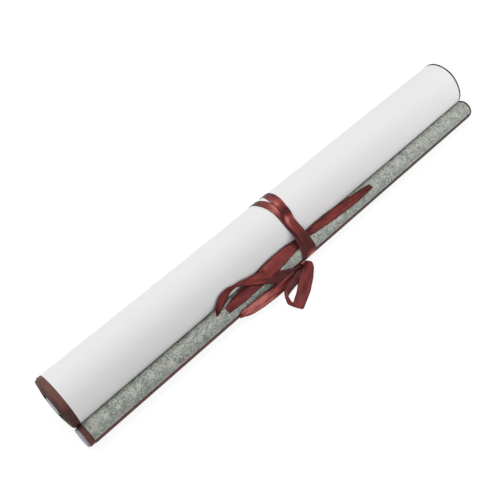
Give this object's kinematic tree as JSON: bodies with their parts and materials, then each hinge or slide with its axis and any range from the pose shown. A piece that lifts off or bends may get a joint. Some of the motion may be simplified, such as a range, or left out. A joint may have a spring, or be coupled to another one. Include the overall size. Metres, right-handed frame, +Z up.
{
  "type": "paper scroll",
  "caption": "Rolled hanging scroll of mounted paper with brown edge strips, a brocade-covered stave and a roller rod, tied with a satin ribbon in a bow.",
  "frame": {"origin": "middle of the roll's flat spot, on the surface that the scroll lies on", "axes": "+X along the roll, +Z up, the stave beside the roll at negative Y"},
  "size_m": [0.502, 0.0977, 0.0503],
  "materials": {
    "rod_wood": "painted pale blue-grey",
    "white_paper": "matt",
    "brocade": "woven, pale flecks on grey-green",
    "edge_strip": "matt brown",
    "satin_ribbon": "burgundy satin"
  },
  "bodies": {
    "root": {"roller_rod": "rod_wood", "stave": "rod_wood", "paper_sheet": "white_paper", "brocade_panel": "brocade", "edge_strip_left": "edge_strip", "edge_strip_right": "edge_strip", "edge_strip_top": "edge_strip", "hanging_ribbon": "satin_ribbon", "tie_ribbon": "satin_ribbon"}
  },
  "joints": []
}
